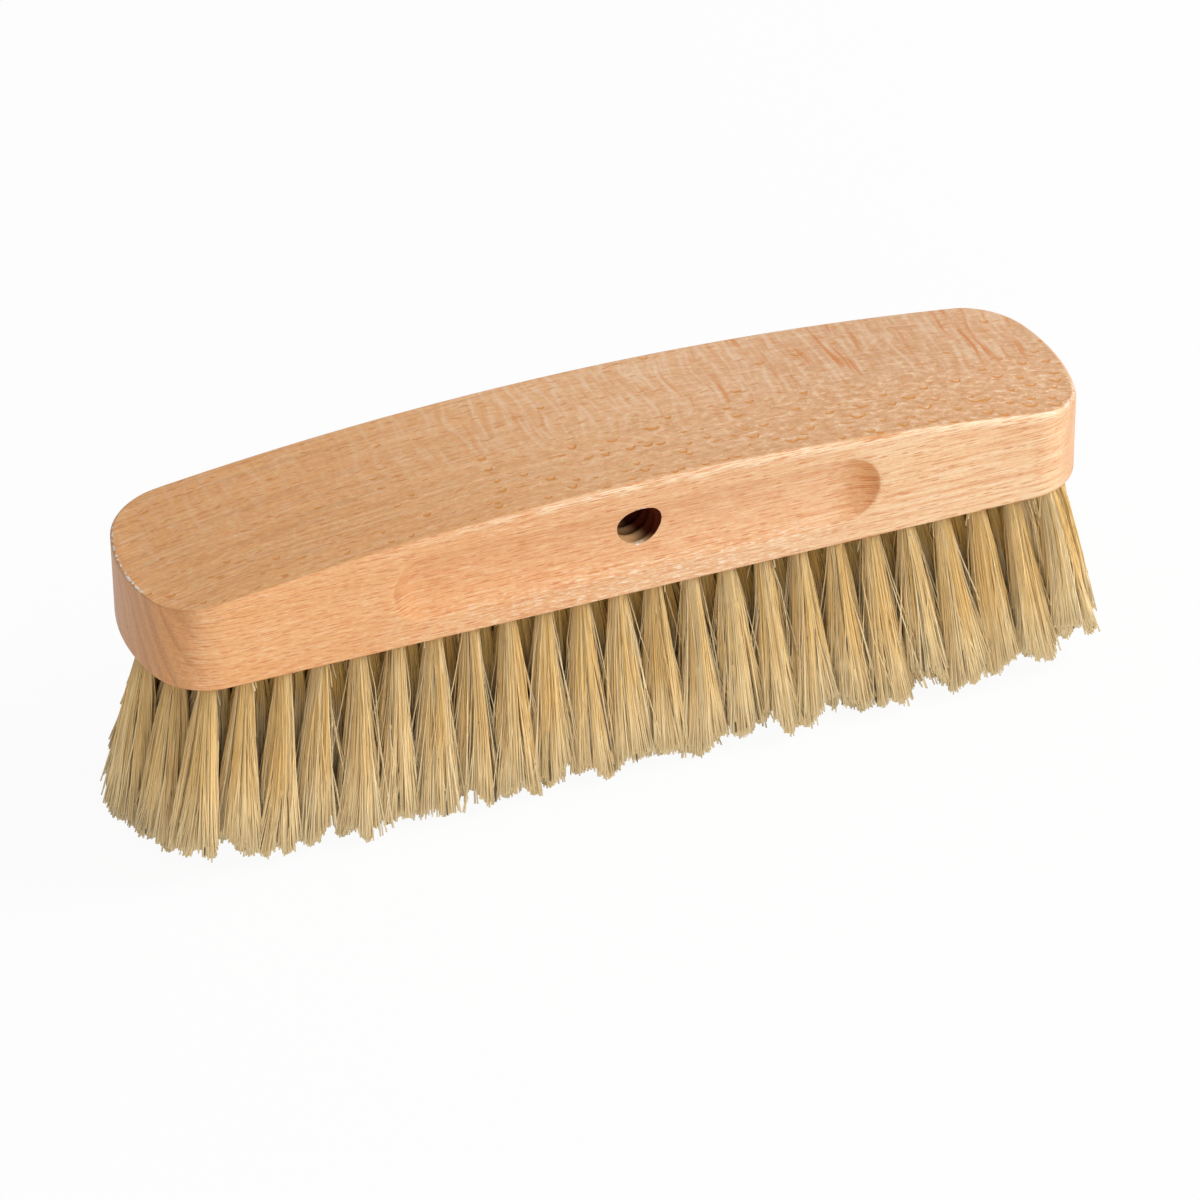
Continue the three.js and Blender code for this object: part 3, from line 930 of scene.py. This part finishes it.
def bristle_material():
    """Blond natural bristle: each hair has its own tone, paler at the tip, partly as painted light, with a
    few dark hairs.

    Painted warm shade makes the hairs inside the field browner towards their roots, where they are also
    duller, and painted shadow of the block dims the roots of the outer tufts.
    """
    g = Graph(bpy.data.materials.new("bristle"))
    x, y, z = g.millimetres()
    tone = g.attribute("tone")
    along = g.attribute("along")
    colour = g.mix(g.span(tone, 0.1, 0.55), (0.93, 0.62, 0.22, 1.0), (0.98, 0.71, 0.32, 1.0))
    colour = g.paint(colour, (1.0, 0.83, 0.51, 1.0), g.span(tone, 0.55, 0.95))
    mottle = g.noise(g.place(x, 1.5, y, 1.5, z, 14.0))
    colour = g.paint(colour, (0.88, 0.63, 0.28, 1.0), g.span(mottle, 0.3, 0.7, 0.0, 0.3))
    # Painted warm shade on the hairs inside the field, towards their roots
    inner_root_shade = g.times(g.span(g.absolute(y), 22.5, 20.0), g.span(along, 0.8, 0.4))
    inner_root_shade = g.times(inner_root_shade, g.span(g.absolute(x), 121.0, 116.0))
    # Painted shadow of the overhanging block on the roots of the outer tufts
    root_shadow = g.times(g.span(along, 0.45, 0.0, 0.0, 0.75), g.span(inner_root_shade, 1.0, 0.0))
    colour = g.stain(colour, (0.87, 0.85, 0.83, 1.0), root_shadow)
    colour = g.stain(colour, (1.0, 0.88, 0.56, 1.0), inner_root_shade)
    # Paler towards the tips: partly the hairs' own pale ends, partly painted light for light passing
    # through the loose tips
    colour = g.paint(colour, (1.0, 0.82, 0.50, 1.0), g.span(along, 0.5, 1.0, 0.0, 0.65))
    colour = g.paint(colour, (0.14, 0.11, 0.08, 1.0), g.attribute("dark"))
    g.surface("Base Color", colour)
    g.surface("Roughness", g.span(tone, 0.0, 1.0, 0.46, 0.34))
    g.surface("Specular IOR Level", g.span(inner_root_shade, 0.0, 1.0, 0.2, 0.04))
    g.surface("IOR", 1.5)
    return g.owner


def wire_material():
    """Galvanised wire with fine drawing lines."""
    g = Graph(bpy.data.materials.new("anchor_wire"))
    x, y, z = g.millimetres()
    lines = g.noise(g.place(x, 0.8, y, 0.05, z, 0.8))
    g.surface("Base Color", g.mix(lines, (0.42, 0.42, 0.43, 1.0), (0.62, 0.62, 0.63, 1.0)))
    g.surface("Metallic", 1.0)
    g.surface("Roughness", g.span(lines, 0.2, 0.8, 0.3, 0.5))
    return g.owner


def seen_rays(g):
    """1 for rays that the camera, a glossy surface or a clear one sends, 0 for those that only light."""
    path = g.add("ShaderNodeLightPath").outputs
    seen = path["Is Camera Ray"]
    for kind in ("Is Glossy Ray", "Is Transmission Ray"):
        seen = g.math("MAXIMUM", seen, path[kind])
    return seen


def floor_material():
    """White floor: it lights the object as any white floor does, and shows white with a faint shadow."""
    g = Graph(bpy.data.materials.new("floor"))
    g.surface("Base Color", (0.96, 0.96, 0.96, 1.0))
    g.surface("Roughness", 0.9)
    g.surface("Specular IOR Level", 0.0)
    white = g.add("ShaderNodeEmission", {"Color": WHITE, "Strength": 1.0}).outputs[0]
    white_share = g.times(seen_rays(g), 0.94)
    mixed = g.add("ShaderNodeMixShader", {0: white_share, 1: g.shader.outputs[0], 2: white})
    g.put(g.tree.nodes["Material Output"].inputs["Surface"], mixed.outputs[0])
    return g.owner


def make_floor():
    """A wide level sheet under the bristle tips."""
    half = 6.0
    cells = 4
    across = cells + 1
    steps = np.linspace(-half, half, across)
    points = [(x, y, 0.0) for y in steps for x in steps]
    corners = [r * across + c for r in range(cells) for c in range(cells)]
    faces = [(i, i + 1, i + 1 + across, i + across) for i in corners]
    floor = new_object("floor", points, faces)
    floor.data.materials.append(floor_material())


def make_world():
    """Even white surroundings: full white to the camera and in reflections, softer as light."""
    world = bpy.data.worlds.new("studio")
    g = Graph(world)
    background = g.tree.nodes["Background"]
    g.put(background.inputs["Color"], WHITE)
    light = 0.30
    level = g.add("ShaderNodeMapRange", {0: seen_rays(g), 3: light, 4: 1.0}).outputs[0]
    g.put(background.inputs["Strength"], level)
    bpy.context.scene.world = world


def add_lamp(name, direction, distance, size, level):
    """A square soft lamp aimed at the block. At level 1 it alone shows a facing colour as written."""
    lamp = bpy.data.lights.new(name, "AREA")
    lamp.shape = "SQUARE"
    lamp.size = size
    lamp.energy = level * math.pi**2 * distance**2
    thing = bpy.data.objects.new(name, lamp)
    towards = Vector(direction).normalized()
    thing.location = Vector((0, 0, UNDERSIDE)) + towards * distance
    thing.rotation_euler = towards.to_track_quat("Z", "Y").to_euler()
    bpy.context.scene.collection.objects.link(thing)


def make_camera():
    """The photograph's camera: it looks down on the front from the left, from a distance."""
    yaw = math.radians(21.239)
    pitch = math.radians(35.519)
    roll = math.radians(-0.55)
    distance = 1866.4 * MM
    shift_left = 0.189 * MM
    shift_down = 18.284 * MM
    forward = Vector((math.sin(yaw) * math.cos(pitch), math.cos(yaw) * math.cos(pitch), -math.sin(pitch)))
    level_right = Vector((math.cos(yaw), -math.sin(yaw), 0))
    level_up = level_right.cross(forward)
    right = math.cos(roll) * level_right + math.sin(roll) * level_up
    up = math.cos(roll) * level_up - math.sin(roll) * level_right
    aim = Vector((0, 0, UNDERSIDE)) - shift_left * right - shift_down * up
    data = bpy.data.cameras.new("camera")
    data.sensor_width = 36
    data.lens = 199.96
    camera = bpy.data.objects.new("camera", data)
    turn = Matrix((right, up, -forward)).transposed().to_4x4()
    camera.matrix_world = Matrix.Translation(aim - forward * distance) @ turn
    bpy.context.scene.collection.objects.link(camera)
    bpy.context.scene.camera = camera


def dress(piece, material, slot, *nodes):
    """Gives a piece its material, its body and the solids it stands for. The slot is not used."""
    piece.data.materials.clear()
    piece.data.materials.append(material)
    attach(piece, "root")
    if nodes:
        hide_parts(*nodes)


ROW_NODES = ["front_row_bristles", "front_inner_bristles", "front_inner_bristles",
             "back_inner_bristles", "back_inner_bristles", "back_row_bristles"]

dress(make_block(), beech_material(), "beech", "brush_block")
bristle = bristle_material()
for row in range(ROW_COUNT):
    for part in range(ROW_PARTS):
        dress(make_row_part(row, part), bristle, "bristle", ROW_NODES[row])
dress(make_anchors(), wire_material(), None)

make_floor()
make_world()
add_lamp("key", direction=(0.78, -0.2, 0.6), distance=2.4, size=1.76, level=0.92)
add_lamp("fill", direction=(-0.36, -0.93, 0.1), distance=1.5, size=1.1, level=0.47)
make_camera()
bpy.context.scene.view_settings.view_transform = "Standard"
